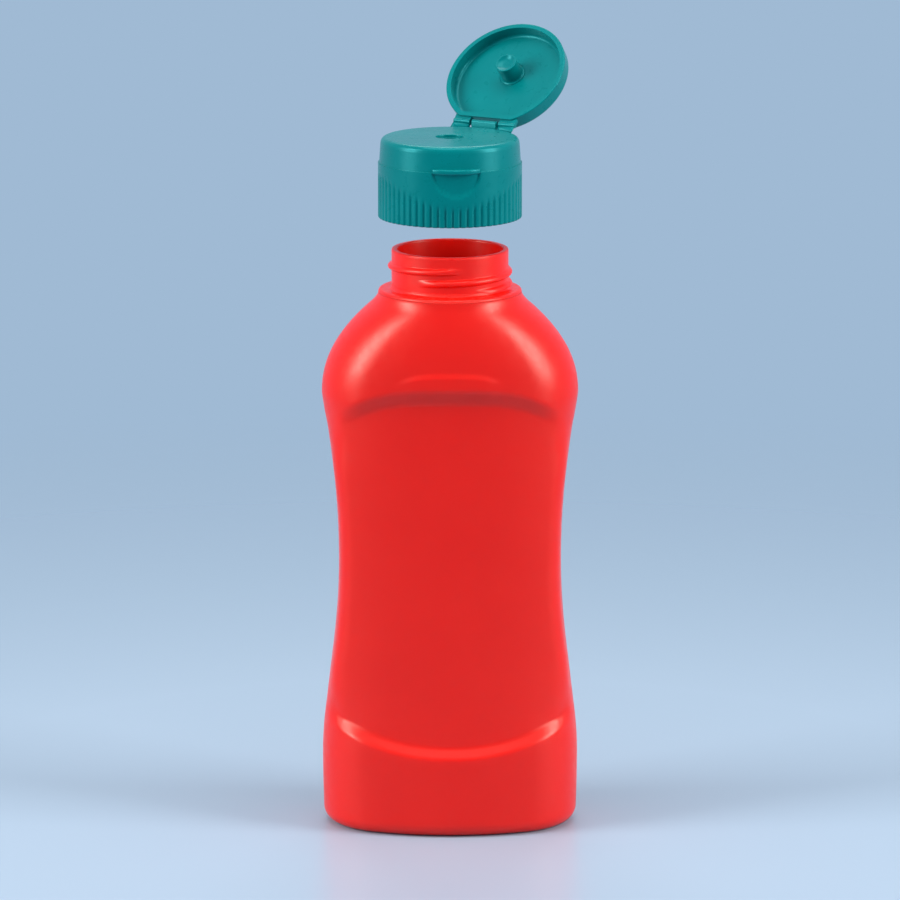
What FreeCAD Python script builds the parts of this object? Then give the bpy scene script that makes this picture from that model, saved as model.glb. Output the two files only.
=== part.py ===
"""Oval squeeze bottle with a flip-top cap lifted clear of its neck (millimetres).

The bottle is one blow-moulded shell. The cap and its lid are two moulded pieces that meet at a living hinge.
+Z is up, -Y is the front, and the origin is the centre of the foot.
"""
import FreeCAD, Part
import math
import os

V = FreeCAD.Vector
UP = V(0, 0, 1)

# ---- bottle body -------------------------------------------------------------------------------------
BODY_TOP = 161.4            # height where the shoulder dome runs into the neck collar
DOME_HEIGHT = 28.9          # from the widest point of the shoulder to the collar
HIP_Z = 22.0                # height of the widest point near the foot
WAIST_SHARE = 0.54          # place of the waist between the hip and the shoulder
HIP_HALF = 38.6             # half width at the hip
WAIST_HALF = 33.5           # half width at the waist
SHOULDER_HALF = 38.5        # half width at the shoulder
HIP_EASE = 0.85             # exponents that shape the side curve between hip, waist, shoulder and collar
SHOULDER_EASE = 0.6
DOME_EASE = 2.15
DEPTH_EASE = 2.8
BODY_HALF_DEPTH = 24.75     # centre plane to the proud front
PROUD_JOINT = 69.4          # degrees from the side at which the front arc and the corner meet
PROUD_SIDE = 20.0           # and the corner and the side arc
FOOT_TAPER = 0.5            # how much the foot is narrower than the hip, each side
FOOT_ROUND = 4.4            # radius between the wall and the foot
WALL = 1.15
FOOT_WIDTH = 5.0            # flat ring that the bottle stands on
PUSH_UP = 3.2               # rise of the base inside that ring
PUSH_UP_SLOPE = 8.0         # run of the slope round the raised base

# ---- label panels, one in front and one behind --------------------------------------------------------
PANEL_DEPTH = 2.4           # how far the panel lies behind the proud front
PANEL_RADIUS = 67.0         # plan radius of the panel
PANEL_MARGIN = 4.5          # from the panel's plain arc to the side, at the waist
PANEL_SIDE = 5.0            # degrees from the side at which corner and side arc meet beside the panel
SMILE_ABOVE_HIP = 5.8       # bottom of the panel above the hip, at the centre
SMILE_DROP = 4.0            # height of the ledge below it
SMILE_END_RISE = 8.2        # rise of the ledge from the centre to its pointed ends
ARCH_ABOVE_SHOULDER = 1.0   # top of the panel above the shoulder, at the centre
ARCH_RISE = 5.0             # height of the ledge above it
ARCH_END_DROP = 6.0         # fall of that ledge from the centre to its pointed ends
PANEL_END_MARGIN = 5.0      # from the pointed ends of the ledges to the hip's side
CORNER_EASE = 18.0          # height over which the corners ease from the proud front to the panel
BROW_PROUD = 0.55           # crest over the arch, ahead of the proud front
BROW_HALF = 16.5
BROW_RISE = 8.6             # top of the crest above the panel, at the centre
BROW_LEDGE = 1.2            # height of the crest's upper ledge
BROW_FALL = 4.6             # fall of the crest's top from the centre to its ends

# ---- neck -------------------------------------------------------------------------------------------
COLLAR_RADIUS = 21.5
COLLAR_TOP = 2.6            # collar ledge above the body
COLLAR_ROUND = 1.1
COLLAR_SINK = 1.2           # how far the collar reaches down into the dome
NECK_HEIGHT = 12.0          # neck above the collar ledge
NECK_RADIUS = 17.5
BORE_RADIUS = 15.9
NECK_ROOT_ROUND = 1.0
LIP_ROUND = 0.5
THREAD_STARTS = ((15.0, 348.0), (195.0, 229.0))   # azimuth of each bead's top end from the front, and its sweep
THREAD_LEAD = 7.2
THREAD_PROUD = 1.2
THREAD_TALL = 2.1
THREAD_TOP_DROP = 2.9       # centre of a bead's top end below the lip
THREAD_ROOT = 0.3           # how far a bead reaches into the wall
THREAD_FADE = 26.0          # degrees over which a bead fades out
THREAD_STEP = 30.0          # degrees between sections of a bead, about

# ---- cap --------------------------------------------------------------------------------------------
CAP_LIFT = 9.6              # underside of the lifted cap above the lip
CAP_RADIUS = 21.5
CAP_HEIGHT = 24.1
SEAM_Z = 16.5               # seam between ribbed skirt and upper band, above the cap's underside
SEAM_STEP = 0.35
DECK_TAPER = 0.5            # narrowing of the upper band
DECK_ROUND = 1.7
DECK_THICK = 1.5
CAP_WALL = 1.5
THREAD_CLEAR = 0.4          # between the thread of the neck and the cap's bore
SLEEVE_WALL = 1.4           # inner sleeve that seats on the lip
SEAL_CLEAR = 0.3            # between the sealing lip and the neck's bore
SEAL_DEEP = 2.5
SEAL_WALL = 1.2
SKIRT_CLEAR = 0.5           # skirt above the collar ledge when the cap is screwed down
CAP_THREAD_PROUD = 1.0
CAP_THREAD_SWEEP = 240.0
SPOUT_DEEP = 3.6            # spout tube below the top of the deck
RIB_COUNT = 62
GROOVE_DEPTH = 0.55
GROOVE_SHARE = 0.56         # width of a groove as a share of the pitch
GROOVE_TOP = 13.9           # top of the grooves above the underside, away from the thumb recess
GROOVE_END = 1.2            # run-out of a groove's top
THUMB_TURN = 5.2            # thumb recess to the right of the front, degrees
THUMB_RADIUS = 7.3
THUMB_DEPTH = 0.9
THUMB_MARGIN = 1.7          # smooth border round the recess
TAB_HALF = 6.6
TAB_REACH = 1.4
TAB_THICK = 1.15
ORIFICE_RADIUS = 3.5
COUNTERSINK_RADIUS = 4.4
COUNTERSINK_DEPTH = 0.9

# ---- hinge and lid ----------------------------------------------------------------------------------
HINGE_TURN = 30.5           # hinge to the right of the back, degrees
HINGE_RADIUS = 20.6         # hinge axis from the cap's axis
HINGE_RISE = 1.3            # hinge axis above the deck
KNUCKLE_RADIUS = 0.8
HINGE_HALF = 10.5           # half length of the whole hinge
LUG_HALF = 4.2              # half length of the cap's own middle segment
HINGE_SLIT = 0.8            # between the middle segment and each strap
STRAP_THICK = 1.1
LID_OPEN = 135.5            # degrees from shut
LID_RADIUS = 19.1
LID_OFFSET = 2.4            # lid centre from the cap's axis, towards the hinge
LID_HEIGHT = 5.0
LID_WALL = 1.5
LID_TOP = 1.3
LID_ROUND = 1.2
LID_DRAFT = 0.3
LID_INNER_ROUND = 0.9
LID_GAP = 0.2               # shut lid above the deck
CHORD_CLEAR = 1.35          # straight back of the lid from the hinge axis
PLUG_RADIUS = 3.2
PLUG_REACH = 1.5            # plug below the deck when the lid is shut
PLUG_DISH = 0.9
PLUG_RIM = 0.6

# ---- heights and radii that follow ------------------------------------------------------------------
SHOULDER_Z = BODY_TOP - DOME_HEIGHT
WAIST_Z = HIP_Z + WAIST_SHARE * (SHOULDER_Z - HIP_Z)
SMILE_Z = HIP_Z + SMILE_ABOVE_HIP
ARCH_Z = SHOULDER_Z + ARCH_ABOVE_SHOULDER
SMILE_END_Z = SMILE_Z - SMILE_DROP / 2 + SMILE_END_RISE
ARCH_END_Z = ARCH_Z + ARCH_RISE / 2 - ARCH_END_DROP
PANEL_HALF_DEPTH = BODY_HALF_DEPTH - PANEL_DEPTH
PANEL_END_HALF = HIP_HALF - PANEL_END_MARGIN
COLLAR_Z = BODY_TOP + COLLAR_TOP
LIP_Z = COLLAR_Z + NECK_HEIGHT
CAP_Z = LIP_Z + CAP_LIFT
HINGE_Z = CAP_HEIGHT + HINGE_RISE                # above the cap's underside, as are the next two
SEAT_Z = NECK_HEIGHT - SKIRT_CLEAR
CAP_THREAD_TOP = SEAT_Z - THREAD_TOP_DROP - THREAD_LEAD / 4
CAP_BORE = NECK_RADIUS + THREAD_PROUD + THREAD_CLEAR
DECK_RADIUS = CAP_RADIUS - SEAM_STEP - DECK_TAPER


def mix(start, end, share):
    return start + (end - start) * share


def ease(share):
    """Smooth step from 0 to 1."""
    share = max(0.0, min(1.0, share))
    return share * share * (3 - 2 * share)


# ---- the body's plan sections -----------------------------------------------------------------------
def half_width(z):
    """Side curve of the bottle as seen from the front."""
    if z <= HIP_Z:
        return HIP_HALF - FOOT_TAPER * ((HIP_Z - z) / HIP_Z) ** 2
    if z <= WAIST_Z:
        share = ((z - HIP_Z) / (WAIST_Z - HIP_Z)) ** HIP_EASE
        return mix(HIP_HALF, WAIST_HALF, (1 - math.cos(math.pi * share)) / 2)
    if z <= SHOULDER_Z:
        share = ((SHOULDER_Z - z) / (SHOULDER_Z - WAIST_Z)) ** SHOULDER_EASE
        return mix(SHOULDER_HALF, WAIST_HALF, (1 - math.cos(math.pi * share)) / 2)
    return mix(SHOULDER_HALF, COLLAR_RADIUS, ((z - SHOULDER_Z) / DOME_HEIGHT) ** DOME_EASE)


def half_depth(z):
    share = max(0.0, (z - SHOULDER_Z) / DOME_HEIGHT)
    return mix(BODY_HALF_DEPTH, COLLAR_RADIUS, share ** DEPTH_EASE)


def proud_corner(width, depth, inset):
    """Front end, middle and side end of the corner of a plain four-arc oval."""
    joint = math.radians(PROUD_JOINT)
    side = math.radians(PROUD_SIDE)
    narrow = (1 - math.sin(joint)) / math.cos(joint)
    radius = (depth - width * narrow) / (1 - narrow)
    return corner_points(width - radius, 0.0, radius - inset, joint, side)


def panel_corner(width, depth, inset):
    """The same three points where the corner eases from the label panel into a flatter side."""
    front_r = PANEL_RADIUS
    joint = math.acos((WAIST_HALF - PANEL_MARGIN) / front_r)
    side = math.radians(PANEL_SIDE)
    lean = math.tan(side / 2)
    reach = width - front_r * math.cos(joint) - lean * (front_r * math.sin(joint) - front_r + depth)
    radius = reach / (1 - math.cos(joint) - lean * math.sin(joint))
    x = (front_r - radius) * math.cos(joint)
    y = front_r - depth - (front_r - radius) * math.sin(joint)
    return corner_points(x, y, radius - inset, joint, side)


def corner_points(x, y, radius, joint, side):
    turns = (joint, (joint + side) / 2, side)
    return [V(x + radius * math.cos(turn), y - radius * math.sin(turn), 0) for turn in turns]


def section(z, inset):
    """Closed plan outline of eight arcs at height z, drawn in from the outside by the inset."""
    width = half_width(z)
    depth = half_depth(z)
    panel = ease((z - SMILE_END_Z) / CORNER_EASE) * ease((ARCH_END_Z - z) / CORNER_EASE)
    proud = proud_corner(width, depth, inset)
    level = V(0, 0, z)
    if panel > 0:
        sunk = panel_corner(width, depth - PANEL_DEPTH, inset)
        proud = [a + (b - a) * panel for a, b in zip(proud, sunk)]
    front_end, corner_mid, side_end = [point + level for point in proud]
    front_mid = V(0, inset - depth, z)
    side_mid = V(width - inset, 0, z)

    def flip(point, x_sign, y_sign):
        return V(point.x * x_sign, point.y * y_sign, z)

    arcs = [
        (flip(front_end, -1, 1), front_mid, front_end),
        (front_end, corner_mid, side_end),
        (side_end, side_mid, flip(side_end, 1, -1)),
        (flip(side_end, 1, -1), flip(corner_mid, 1, -1), flip(front_end, 1, -1)),
        (flip(front_end, 1, -1), flip(front_mid, 1, -1), flip(front_end, -1, -1)),
        (flip(front_end, -1, -1), flip(corner_mid, -1, -1), flip(side_end, -1, -1)),
        (flip(side_end, -1, -1), flip(side_mid, -1, 1), flip(side_end, -1, 1)),
        (flip(side_end, -1, 1), flip(corner_mid, -1, 1), flip(front_end, -1, 1)),
    ]
    return Part.Wire([Part.Arc(*arc).toShape() for arc in arcs])


def body_form(inset):
    """Solid inside the bottle's outline without its panels, drawn in everywhere by the inset."""
    foot = [(inset, FOOT_ROUND)]
    for turn in (60, 30, 0):
        angle = math.radians(turn)
        rounding = FOOT_ROUND - inset
        foot.append((inset + rounding * (1 - math.sin(angle)), inset + rounding * (1 - math.cos(angle))))
    lower = [mix(FOOT_ROUND, HIP_Z, share) for share in (0.5, 1.0)]
    lower += [mix(HIP_Z, WAIST_Z, share) for share in (0.17, 0.34, 0.52, 0.75, 1.0)]
    upper = [mix(WAIST_Z, SHOULDER_Z, share) for share in (0.3, 0.5, 0.7, 0.86, 1.0)]
    dome = [mix(SHOULDER_Z, BODY_TOP, share) for share in (0.2, 0.4, 0.58, 0.73, 0.86, 0.95, 1.0)]
    stations = foot + [(level, inset) for level in lower + upper + dome]
    return Part.makeLoft([section(level, side) for level, side in stations], True, False)


# ---- the label panels -------------------------------------------------------------------------------
def parabola(y, half, crown, side):
    """Level curve across the front: height at the centre, and at the half width on each side."""
    curve = Part.BezierCurve()
    curve.setPoles([V(-half, y, side), V(0, y, 2 * crown - side), V(half, y, side)])
    return curve.toShape()


def drafted_prism(outline, near, far):
    """Solid between an outline at two plan depths."""
    return Part.makeLoft([outline(near), outline(far)], True, True)


def closed_outline(y, half, low, low_side, high, high_side):
    left_low, right_low = V(-half, y, low_side), V(half, y, low_side)
    left_high, right_high = V(-half, y, high_side), V(half, y, high_side)
    return Part.Wire([
        parabola(y, half, low, low_side),
        Part.makeLine(right_low, right_high),
        parabola(y, half, high, high_side),
        Part.makeLine(left_high, left_low),
    ])


def window(inset):
    """Drafted prism over the front panel, bounded by the smile below and the arch above."""
    smile_slope = SMILE_DROP / PANEL_DEPTH
    arch_slope = ARCH_RISE / PANEL_DEPTH
    end_back = PANEL_RADIUS - math.sqrt(PANEL_RADIUS ** 2 - PANEL_END_HALF ** 2) - PANEL_DEPTH / 2
    half = HIP_HALF + PANEL_END_MARGIN
    spread = (half / PANEL_END_HALF) ** 2
    smile_bend = (SMILE_END_Z - SMILE_Z - smile_slope * end_back) * spread
    arch_bend = (ARCH_END_Z - ARCH_Z + arch_slope * end_back) * spread

    def outline(y):
        ahead = -y - PANEL_HALF_DEPTH
        low = SMILE_Z - smile_slope * ahead - inset * math.hypot(1, smile_slope)
        high = ARCH_Z + arch_slope * ahead + inset * math.hypot(1, arch_slope)
        return closed_outline(y, half, low, low + smile_bend, high, high + arch_bend)

    return drafted_prism(outline, -BODY_HALF_DEPTH - 2 * PANEL_DEPTH, -PANEL_HALF_DEPTH + end_back + PANEL_DEPTH)


def slab(half_depth_at_centre, radius, half):
    """Upright block between two bulging faces, taller than the body."""
    side = half_depth_at_centre - radius + math.sqrt(radius ** 2 - half ** 2)
    front = Part.Arc(V(-half, -side, 0), V(0, -half_depth_at_centre, 0), V(half, -side, 0)).toShape()
    back = Part.Arc(V(half, side, 0), V(0, half_depth_at_centre, 0), V(-half, side, 0)).toShape()
    right = Part.makeLine(V(half, -side, 0), V(half, side, 0))
    left = Part.makeLine(V(-half, side, 0), V(-half, -side, 0))
    return Part.Face(Part.Wire([front, right, back, left])).extrude(V(0, 0, BODY_TOP))


def brow():
    """Crest over the arch, whose ends run out into the shoulder."""
    proud_r = PANEL_RADIUS + PANEL_DEPTH
    merge = BODY_HALF_DEPTH - proud_r + math.sqrt(proud_r ** 2 - BROW_HALF ** 2)
    sag = BODY_HALF_DEPTH + BROW_PROUD - merge
    face_r = (BROW_HALF ** 2 + sag ** 2) / (2 * sag)
    top = ARCH_Z + BROW_RISE

    def outline(y):
        ahead = -y - BODY_HALF_DEPTH
        high = top - BROW_LEDGE / BROW_PROUD * ahead
        return closed_outline(y, BROW_HALF, ARCH_Z, ARCH_Z, high, high - BROW_FALL)

    prism = drafted_prism(outline, -BODY_HALF_DEPTH - 2 * BROW_PROUD, -merge + PANEL_DEPTH)
    return prism.common(slab(BODY_HALF_DEPTH + BROW_PROUD, face_r, BROW_HALF))


def half_turn(shape):
    """Copy of a shape turned to the other side of the bottle."""
    copy = shape.copy()
    copy.rotate(V(0, 0, 0), UP, 180)
    return copy


def panelled(form, inset):
    """Cut the two label panels into a body form."""
    core = slab(PANEL_HALF_DEPTH - inset, PANEL_RADIUS - inset, HIP_HALF + PANEL_END_MARGIN)
    recess = window(inset).cut(core)
    return form.cut(recess).cut(half_turn(recess))


# ---- turned shapes ----------------------------------------------------------------------------------
def turned(points, axis_z=0.0):
    """Solid of revolution from a closed outline of (radius, height) points; a third value rounds a corner."""
    edges = []
    corners = []
    count = len(points)
    for index, point in enumerate(points):
        here = V(point[0], 0, point[1] + axis_z)
        round_r = point[2] if len(point) > 2 else 0.0
        if round_r <= 0:
            corners.append((here, None, here))
            continue
        before = points[index - 1]
        after = points[(index + 1) % count]
        to_before = (V(before[0], 0, before[1] + axis_z) - here).normalize()
        to_after = (V(after[0], 0, after[1] + axis_z) - here).normalize()
        half = to_before.getAngle(to_after) / 2
        reach = round_r / math.tan(half)
        centre = here + (to_before + to_after).normalize() * (round_r / math.sin(half))
        middle = centre + (here - centre).normalize() * round_r
        corners.append((here + to_before * reach, middle, here + to_after * reach))
    for index, (start, middle, end) in enumerate(corners):
        if middle is not None:
            edges.append(Part.Arc(start, middle, end).toShape())
        following = corners[(index + 1) % count][0]
        if end.distanceToPoint(following) > 1e-6:
            edges.append(Part.makeLine(end, following))
    return Part.Face(Part.Wire(edges)).revolve(V(0, 0, 0), UP, 360)


def ring(inner, outer, low, high):
    return turned([(inner, low), (outer, low), (outer, high), (inner, high)])


def thread_bead(root_r, proud, azimuth, sweep, top_z, inward=False):
    """Rounded thread bead that falls to the left from its top end and fades out at both ends."""
    sections = []
    side = -1 if inward else 1
    steps = max(2, round((sweep - 2 * THREAD_FADE) / THREAD_STEP))
    turns = [mix(THREAD_FADE, sweep - THREAD_FADE, step / steps) for step in range(steps + 1)]
    for turn in [0, THREAD_FADE / 2] + turns + [sweep - THREAD_FADE / 2, sweep]:
        end = min(turn, sweep - turn)
        full = 0.15 + 0.85 * ease(end / THREAD_FADE)
        angle = math.radians(azimuth - 90 - turn)
        middle = top_z - THREAD_LEAD * turn / 360
        out = V(math.cos(angle), math.sin(angle), 0)
        half = THREAD_TALL / 2 * mix(0.6, 1.0, full)
        root = root_r - side * THREAD_ROOT
        low = out * root + V(0, 0, middle - half)
        high = out * root + V(0, 0, middle + half)
        crest = out * (root_r + side * proud * full) + V(0, 0, middle)
        sections.append(Part.Wire([Part.Arc(low, crest, high).toShape(), Part.makeLine(high, low)]))
    return Part.makeLoft(sections, True, False)


def fuse_all(shapes):
    return shapes[0].multiFuse(shapes[1:]) if len(shapes) > 1 else shapes[0]


# ---- bottle -----------------------------------------------------------------------------------------
def push_up(inset):
    """Raised middle of the base inside the foot ring; the inset thickens it into the base's inner face."""
    low = section(0.0, FOOT_ROUND + FOOT_WIDTH - inset)
    high = section(0.0, FOOT_ROUND + FOOT_WIDTH + PUSH_UP_SLOPE - inset)
    low.translate(V(0, 0, -1.0 if inset == 0 else 0))
    high.translate(V(0, 0, PUSH_UP + inset))
    return Part.makeLoft([low, high], True, True)


def neck_outer():
    return turned([
        (0, BODY_TOP - COLLAR_SINK), (COLLAR_RADIUS, BODY_TOP - COLLAR_SINK, 0),
        (COLLAR_RADIUS, COLLAR_Z, COLLAR_ROUND), (NECK_RADIUS, COLLAR_Z, NECK_ROOT_ROUND),
        (NECK_RADIUS, LIP_Z, LIP_ROUND), (0, LIP_Z),
    ])


def neck_bore():
    return turned([
        (0, BODY_TOP - 2 * COLLAR_SINK), (COLLAR_RADIUS - 2 * WALL, BODY_TOP - 2 * COLLAR_SINK),
        (COLLAR_RADIUS - 2 * WALL, COLLAR_Z - 2 * WALL, WALL), (BORE_RADIUS, COLLAR_Z - WALL / 2, WALL / 2),
        (BORE_RADIUS, LIP_Z + 1), (0, LIP_Z + 1),
    ])


def bottle():
    crest = brow()
    outer = fuse_all([body_form(0.0), crest, half_turn(crest)])
    outer = panelled(outer, 0.0)
    cavity = panelled(body_form(WALL), WALL)
    cavity = cavity.cut(push_up(WALL))
    beads = [thread_bead(NECK_RADIUS, THREAD_PROUD, azimuth, sweep, LIP_Z - THREAD_TOP_DROP)
             for azimuth, sweep in THREAD_STARTS]
    shell = fuse_all([outer, neck_outer()] + beads)
    return shell.cut(cavity).cut(neck_bore()).cut(push_up(0.0))


# ---- cap --------------------------------------------------------------------------------------------
def thumb_turned(shape):
    """Turn a shape built in front to the thumb recess."""
    shape.rotate(V(0, 0, 0), UP, THUMB_TURN)
    return shape


def cap_skirt():
    return turned([
        (CAP_BORE, 0), (CAP_RADIUS, 0, 0.3), (CAP_RADIUS, SEAM_Z), (CAP_RADIUS - SEAM_STEP, SEAM_Z),
        (DECK_RADIUS, CAP_HEIGHT, DECK_ROUND), (0, CAP_HEIGHT), (0, CAP_HEIGHT - DECK_THICK),
        (CAP_BORE, CAP_HEIGHT - DECK_THICK, DECK_THICK),
    ])


def sleeve():
    """Inner sleeve that seats on the lip, with a sealing lip that enters the neck."""
    seal_r = BORE_RADIUS - SEAL_CLEAR
    wall = ring(NECK_RADIUS - SLEEVE_WALL, NECK_RADIUS, SEAT_Z, CAP_HEIGHT - DECK_THICK / 2)
    shelf = ring(seal_r - SEAL_WALL, NECK_RADIUS, SEAT_Z, SEAT_Z + SLEEVE_WALL)
    seal = ring(seal_r - SEAL_WALL, seal_r, SEAT_Z - SEAL_DEEP, SEAT_Z + SLEEVE_WALL)
    return fuse_all([wall, shelf, seal])


def groove(top):
    """Round-bottomed groove between two ribs, whose top runs out into the skirt."""
    half = math.pi * CAP_RADIUS * GROOVE_SHARE / RIB_COUNT
    radius = (half ** 2 + GROOVE_DEPTH ** 2) / (2 * GROOVE_DEPTH)
    shape = turned([(0, -1), (radius, -1), (radius, top - GROOVE_END), (0, top)])
    shape.translate(V(0, -(CAP_RADIUS + radius - GROOVE_DEPTH), 0))
    return shape


def grooves():
    """All grooves; their tops dip round the thumb recess."""
    cutters = []
    border = THUMB_RADIUS + THUMB_MARGIN
    for index in range(RIB_COUNT):
        turn = 360 * (index + 0.5) / RIB_COUNT
        aside = CAP_RADIUS * math.radians(min(turn, 360 - turn))
        top = GROOVE_TOP
        if aside < border:
            top = min(top, SEAM_Z - math.sqrt(border ** 2 - aside ** 2))
        cutter = groove(top)
        cutter.rotate(V(0, 0, 0), UP, turn + THUMB_TURN)
        cutters.append(cutter)
    return cutters


def thumb_recess():
    disc = Part.makeCylinder(THUMB_RADIUS, CAP_RADIUS, V(0, 0, SEAM_Z), V(0, -1, 0))
    lower = Part.makeBox(2 * CAP_RADIUS, 2 * CAP_RADIUS, SEAM_Z, V(-CAP_RADIUS, -2 * CAP_RADIUS, 0))
    floor = Part.makeCylinder(CAP_RADIUS - THUMB_DEPTH, CAP_HEIGHT)
    disc.translate(V(0, -CAP_RADIUS / 2, 0))
    return thumb_turned(disc.common(lower).cut(floor))


def thumb_tab():
    root = CAP_RADIUS - CAP_WALL
    side = math.sqrt(CAP_RADIUS ** 2 - TAB_HALF ** 2)
    left, right = V(-TAB_HALF, -side, 0), V(TAB_HALF, -side, 0)
    back_left, back_right = V(-TAB_HALF, -root + CAP_WALL, 0), V(TAB_HALF, -root + CAP_WALL, 0)
    edge = Part.Wire([
        Part.Arc(left, V(0, -CAP_RADIUS - TAB_REACH, 0), right).toShape(),
        Part.makeLine(right, back_right), Part.makeLine(back_right, back_left), Part.makeLine(back_left, left),
    ])
    tab = Part.Face(edge).extrude(V(0, 0, TAB_THICK))
    tab.translate(V(0, 0, SEAM_Z))
    return thumb_turned(tab.cut(Part.makeCylinder(CAP_RADIUS - CAP_WALL, CAP_HEIGHT)))


def hinge_turned(shape):
    """Turn a shape built at the back to the hinge, and lift it to the cap's place."""
    shape.rotate(V(0, 0, 0), UP, -HINGE_TURN)
    shape.translate(V(0, 0, CAP_Z))
    return shape


def knuckle(start, end):
    return Part.makeCylinder(KNUCKLE_RADIUS, end - start, V(start, HINGE_RADIUS, HINGE_Z), V(1, 0, 0))


def hinge_lug():
    """Middle segment of the hinge, standing on the edge of the deck."""
    foot = Part.makeBox(2 * LUG_HALF, 2 * KNUCKLE_RADIUS, HINGE_RISE + DECK_ROUND,
                        V(-LUG_HALF, HINGE_RADIUS - KNUCKLE_RADIUS, CAP_HEIGHT - DECK_ROUND))
    return foot.fuse(knuckle(-LUG_HALF, LUG_HALF))


def cap():
    threads = [thread_bead(CAP_BORE, CAP_THREAD_PROUD, azimuth, CAP_THREAD_SWEEP, CAP_THREAD_TOP, True)
               for azimuth, sweep in THREAD_STARTS]
    spout = ring(ORIFICE_RADIUS, ORIFICE_RADIUS + SEAL_WALL, CAP_HEIGHT - SPOUT_DEEP, CAP_HEIGHT - DECK_THICK / 2)
    body = fuse_all([cap_skirt(), sleeve(), spout, thumb_tab()] + threads)
    orifice = turned([
        (0, 0), (ORIFICE_RADIUS, 0), (ORIFICE_RADIUS, CAP_HEIGHT - COUNTERSINK_DEPTH),
        (COUNTERSINK_RADIUS, CAP_HEIGHT), (COUNTERSINK_RADIUS, CAP_HEIGHT + 1), (0, CAP_HEIGHT + 1),
    ])
    body = body.cut([orifice, thumb_recess()] + grooves())
    body.translate(V(0, 0, CAP_Z))
    return body.fuse(hinge_turned(hinge_lug()))


# ---- lid --------------------------------------------------------------------------------------------
def lid_cup():
    """Shallow cup over the deck, with a straight wall along the hinge."""
    low = CAP_HEIGHT + LID_GAP
    top = low + LID_HEIGHT
    floor = top - LID_TOP
    outside = turned([(0, low), (LID_RADIUS, low, 0.3), (LID_RADIUS - LID_DRAFT, top, LID_ROUND), (0, top)])
    inside = turned([(0, low - 1), (LID_RADIUS - LID_WALL, low - 1),
                     (LID_RADIUS - LID_WALL - LID_DRAFT, floor, LID_INNER_ROUND), (0, floor)])
    for shape in (outside, inside):
        shape.translate(V(0, LID_OFFSET, 0))
    chord = HINGE_RADIUS - CHORD_CLEAR
    room = 2 * LID_RADIUS
    front = Part.makeBox(2 * room, room, room, V(-room, chord - room, low - 2))
    hollow = Part.makeBox(2 * room, room, room, V(-room, chord - LID_WALL - room, low - 2))
    return outside.common(front).cut(inside.common(hollow))


def strap(start, end):
    """Side segment of the hinge, from the lid's straight wall to the axis."""
    chord = HINGE_RADIUS - CHORD_CLEAR
    plate = Part.makeBox(end - start, CHORD_CLEAR + LID_WALL / 2, STRAP_THICK,
                         V(start, chord - LID_WALL / 2, HINGE_Z - STRAP_THICK / 2))
    return plate.fuse(knuckle(start, end))


def plug():
    tip = CAP_HEIGHT - PLUG_REACH
    root = CAP_HEIGHT + LID_GAP + LID_HEIGHT - LID_TOP / 2
    return turned([(0, tip + PLUG_DISH), (PLUG_RADIUS - PLUG_RIM, tip), (PLUG_RADIUS, tip, 0.25),
                   (PLUG_RADIUS, root), (0, root)])


def lid(opened):
    inner = LUG_HALF + HINGE_SLIT
    shape = fuse_all([lid_cup(), strap(inner, HINGE_HALF), strap(-HINGE_HALF, -inner), plug()])
    shape.rotate(V(0, HINGE_RADIUS, HINGE_Z), V(1, 0, 0), -opened)
    return hinge_turned(shape)


def export(name, shape):
    solid = shape.Solids[0]
    print(name, "solids", len(shape.Solids), "valid", solid.isValid(), "cm3", round(solid.Volume / 1000, 2))
    solid.exportStep(os.path.join("parts", name + ".step"))


os.makedirs("parts", exist_ok=True)
export("bottle", bottle())
export("cap", cap())
export("lid", lid(LID_OPEN))
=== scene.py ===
"""Looks of the oval squeeze bottle and its lifted flip-top cap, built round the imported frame. Metres."""
import math

import bmesh
import bpy
import numpy as np
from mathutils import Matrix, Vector

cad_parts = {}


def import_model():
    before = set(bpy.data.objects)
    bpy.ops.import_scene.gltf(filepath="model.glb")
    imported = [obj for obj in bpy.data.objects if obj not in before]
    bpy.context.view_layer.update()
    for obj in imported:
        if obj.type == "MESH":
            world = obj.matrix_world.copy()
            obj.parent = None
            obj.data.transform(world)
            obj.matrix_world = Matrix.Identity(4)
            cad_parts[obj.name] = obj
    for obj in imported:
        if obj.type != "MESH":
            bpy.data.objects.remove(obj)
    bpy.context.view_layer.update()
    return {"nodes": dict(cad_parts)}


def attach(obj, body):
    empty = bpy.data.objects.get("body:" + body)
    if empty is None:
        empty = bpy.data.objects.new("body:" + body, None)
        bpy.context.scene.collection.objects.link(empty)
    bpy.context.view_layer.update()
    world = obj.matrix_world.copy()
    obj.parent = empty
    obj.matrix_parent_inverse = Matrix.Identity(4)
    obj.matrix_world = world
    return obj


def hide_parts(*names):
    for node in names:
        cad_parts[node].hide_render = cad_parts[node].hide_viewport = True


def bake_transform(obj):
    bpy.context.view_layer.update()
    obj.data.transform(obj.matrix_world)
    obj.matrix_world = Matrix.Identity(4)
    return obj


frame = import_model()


# ---- sizes, millimetres -----------------------------------------------------------------------------
# The outline, the neck and the cap's main sizes are the solids' own. The ledges, the crest, the thread
# and the small roundings are drawn closer to the photo than in the solids.
MM = 0.001
BODY_TOP = 161.4            # where the shoulder dome runs into the neck collar
DOME_HEIGHT = 28.9
HIP_Z = 22.0                # heights of the widest place near the foot and of the waist
WAIST_Z = 81.67
SHOULDER_Z = BODY_TOP - DOME_HEIGHT
HIP_HALF = 38.6
WAIST_HALF = 33.5
SHOULDER_HALF = 38.5
HIP_EASE = 0.85             # exponents of the side curve between hip, waist, shoulder and collar
SHOULDER_EASE = 0.6
DOME_EASE = 2.15
DEPTH_EASE = 2.8            # exponent of the dome's depth
BODY_HALF_DEPTH = 24.75
PROUD_JOINT = math.radians(69.4)    # ends of the oval's corner arc, from the side
PROUD_SIDE = math.radians(20.0)
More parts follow.
